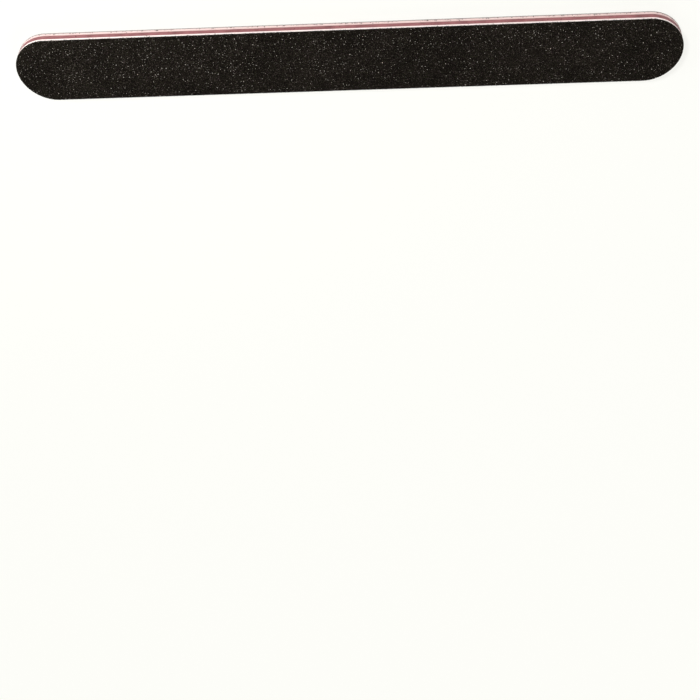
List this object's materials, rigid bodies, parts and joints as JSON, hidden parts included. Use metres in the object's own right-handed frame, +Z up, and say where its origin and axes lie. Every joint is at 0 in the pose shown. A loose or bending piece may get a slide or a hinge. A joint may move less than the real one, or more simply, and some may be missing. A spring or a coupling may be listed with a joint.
{
  "type": "emery board",
  "caption": "Straight cushioned emery board with half-round ends, black abrasive on both faces and a rose core between pale foam pads.",
  "frame": {"origin": "centre of the lower (fine) abrasive face, which the board rests on", "axes": "+X along the board's length, +Y across its width, +Z up through the layers to the upper (coarse) face"},
  "size_m": [0.178, 0.019, 0.004],
  "materials": {
    "black_grain": "matte",
    "dark_resin": "satin",
    "black_paper": "matte",
    "grey_paper": "matte",
    "adhesive": "satin",
    "white_foam": "matte",
    "blush_foam": "matte",
    "rose_core": "satin"
  },
  "bodies": {
    "root": {"upper_grit": "black_grain", "upper_bond": "dark_resin", "upper_paper": "black_paper", "upper_paper_tape": "adhesive", "upper_foam": "white_foam", "upper_core_tape": "adhesive", "core": "rose_core", "lower_core_tape": "adhesive", "lower_foam": "blush_foam", "lower_paper_tape": "adhesive", "lower_paper": "grey_paper", "lower_bond": "dark_resin", "lower_grit": "black_grain"}
  },
  "joints": []
}
